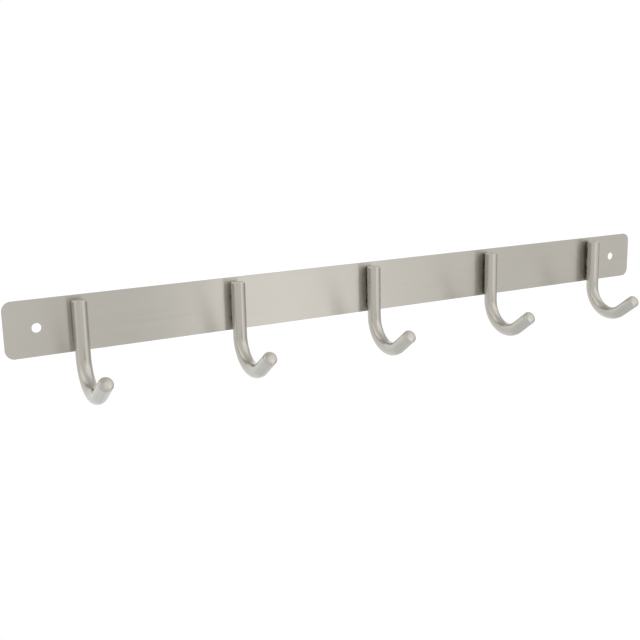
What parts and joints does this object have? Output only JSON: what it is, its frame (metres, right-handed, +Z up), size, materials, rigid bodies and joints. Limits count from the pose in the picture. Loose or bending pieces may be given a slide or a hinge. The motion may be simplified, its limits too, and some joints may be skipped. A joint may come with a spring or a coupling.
{
  "type": "coat hook rail",
  "caption": "Wall-mounted coat hook rail: a flat brushed steel strip with rounded corners and screw holes near its ends, and J-shaped round-bar hooks welded along its face.",
  "frame": {"origin": "middle of the strip's back face, on the wall, midway between the two screw holes", "axes": "+X along the rail, -Y out of the wall towards the user, +Z up"},
  "size_m": [0.434, 0.0466, 0.0533],
  "materials": {
    "brushed_sheet": "satin, brushed along the strip",
    "satin_bar": "satin, polished along the bar"
  },
  "bodies": {
    "root": {"wall_plate": "brushed_sheet", "hook_1": "satin_bar", "hook_2": "satin_bar", "hook_3": "satin_bar", "hook_4": "satin_bar", "hook_5": "satin_bar"}
  },
  "joints": []
}
